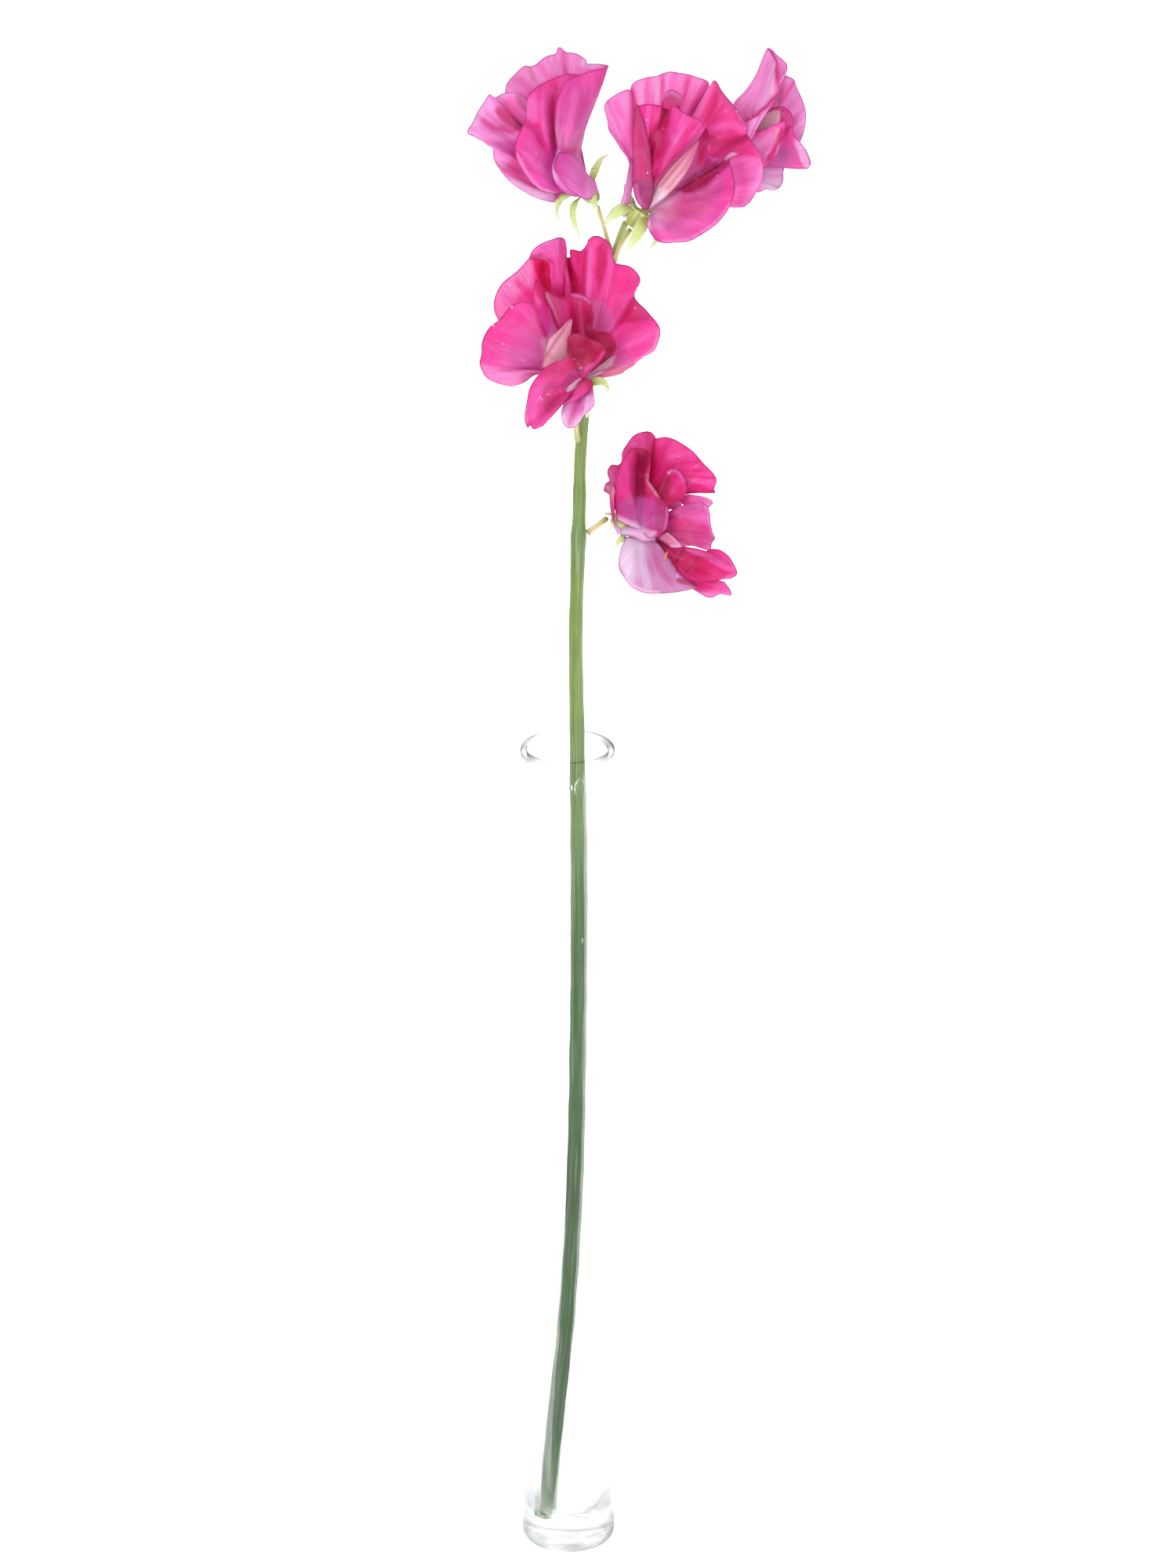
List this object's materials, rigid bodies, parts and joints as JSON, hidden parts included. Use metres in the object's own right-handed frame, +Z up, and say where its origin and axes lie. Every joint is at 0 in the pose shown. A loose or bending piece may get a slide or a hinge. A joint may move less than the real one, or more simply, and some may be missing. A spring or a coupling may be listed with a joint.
{
  "type": "sweet pea flower stem in a glass tube vase",
  "caption": "Cut sweet pea stem with pink and magenta blooms, each a banner, wings and keel on a green cup, held upright in a slim clear glass tube vase that stands on its flat base.",
  "frame": {"origin": "centre of the vase's flat underside", "axes": "+Z up along the vase, +X to the side the lowest bloom reaches to, -Y to the front that the middle bloom faces"},
  "size_m": [0.0906, 0.0522, 0.4275],
  "materials": {
    "clear_glass": "clear, fire-polished, thick at the foot",
    "stem_skin": "ribbed green stem, satin",
    "stalk_skin": "ochre to green, matt",
    "cup_skin": "yellow-green, matt, finely downy",
    "magenta_petal": "veined petal, soft satin, slightly translucent",
    "crimson_petal": "veined petal, soft satin, slightly translucent",
    "pink_petal": "veined petal, soft satin, slightly translucent",
    "pale_pink_petal": "veined petal, soft satin, translucent",
    "lilac_petal": "pale lilac, veined, translucent",
    "cream_petal": "cream flushed with pink, satin",
    "stamen_skin": "orange, matt"
  },
  "bodies": {
    "root": {"back_cup": "cup_skin", "back_keel": "cream_petal", "back_stalk": "stalk_skin", "back_standard": "pale_pink_petal", "back_wing_far": "pink_petal", "back_wing_near": "pink_petal", "front_cup": "cup_skin", "front_keel": "cream_petal", "front_stalk": "stalk_skin", "front_standard": "pale_pink_petal", "front_wing_left": "magenta_petal", "front_wing_right": "pink_petal", "left_cup": "cup_skin", "left_keel": "cream_petal", "left_stalk": "stalk_skin", "left_standard": "pink_petal", "left_wing_far": "pink_petal", "left_wing_near": "magenta_petal", "low_cup": "cup_skin", "low_curled_lobe": "crimson_petal", "low_keel": "lilac_petal", "low_stalk": "stalk_skin", "low_stamen": "stamen_skin", "low_standard": "magenta_petal", "low_tail_petal": "pink_petal", "low_under_wing": "crimson_petal", "low_wing_far": "pink_petal", "low_wing_near": "magenta_petal", "middle_cup": "cup_skin", "middle_keel": "cream_petal", "middle_lower_petal": "crimson_petal", "middle_small_petal": "lilac_petal", "middle_stalk": "stalk_skin", "middle_standard": "magenta_petal", "middle_wing_left": "pink_petal", "middle_wing_right": "crimson_petal", "stem": "stem_skin", "vase": "clear_glass"}
  },
  "joints": []
}
